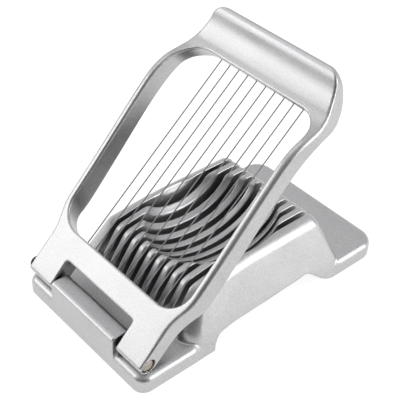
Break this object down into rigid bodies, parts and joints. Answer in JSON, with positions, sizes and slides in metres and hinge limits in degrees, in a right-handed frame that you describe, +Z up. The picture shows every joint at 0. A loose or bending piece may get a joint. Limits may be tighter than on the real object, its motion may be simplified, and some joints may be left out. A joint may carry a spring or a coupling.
{
  "type": "egg slicer",
  "caption": "Hinged egg slicer: a slotted cast base with an egg-shaped dish, and a cast frame strung with parallel cutting wires that swing down through the slots.",
  "frame": {"origin": "under the middle of the base, on the surface it stands on", "axes": "+X from the hinge towards the handle end, +Y to the left seen from the hinge end, +Z up"},
  "size_m": [0.13, 0.0786, 0.1014],
  "materials": {
    "cast_aluminium": "satin die casting, tumbled, with soft rounded edges",
    "steel_pin": "blackened steel with a domed head on one end and the other end hammered over, worn bright",
    "steel_wire": "bright drawn stainless wire",
    "steel_ferrule": "crimped stainless sleeve"
  },
  "bodies": {
    "base": {"base_casting": "cast_aluminium", "hinge_pin": "steel_pin"},
    "frame": {"wire_frame": "cast_aluminium", "cutting_wire_01": "steel_wire", "cutting_wire_02": "steel_wire", "cutting_wire_03": "steel_wire", "cutting_wire_04": "steel_wire", "cutting_wire_05": "steel_wire", "cutting_wire_06": "steel_wire", "cutting_wire_07": "steel_wire", "cutting_wire_08": "steel_wire", "cutting_wire_09": "steel_wire", "cutting_wire_10": "steel_wire", "hinge_ferrule_01": "steel_ferrule", "hinge_ferrule_02": "steel_ferrule", "hinge_ferrule_03": "steel_ferrule", "hinge_ferrule_04": "steel_ferrule", "hinge_ferrule_05": "steel_ferrule", "hinge_ferrule_06": "steel_ferrule", "hinge_ferrule_07": "steel_ferrule", "hinge_ferrule_08": "steel_ferrule", "hinge_ferrule_09": "steel_ferrule", "hinge_ferrule_10": "steel_ferrule", "handle_ferrule_01": "steel_ferrule", "handle_ferrule_02": "steel_ferrule", "handle_ferrule_03": "steel_ferrule", "handle_ferrule_04": "steel_ferrule", "handle_ferrule_05": "steel_ferrule", "handle_ferrule_06": "steel_ferrule", "handle_ferrule_07": "steel_ferrule", "handle_ferrule_08": "steel_ferrule", "handle_ferrule_09": "steel_ferrule", "handle_ferrule_10": "steel_ferrule"}
  },
  "joints": [
    {"name": "frame_hinge", "type": "hinge", "parent": "base", "child": "frame", "pos_m": [-0.0602, 0, 0.0117], "axis": [0, -1, 0], "range_deg": [-41.2, 53.7]}
  ]
}
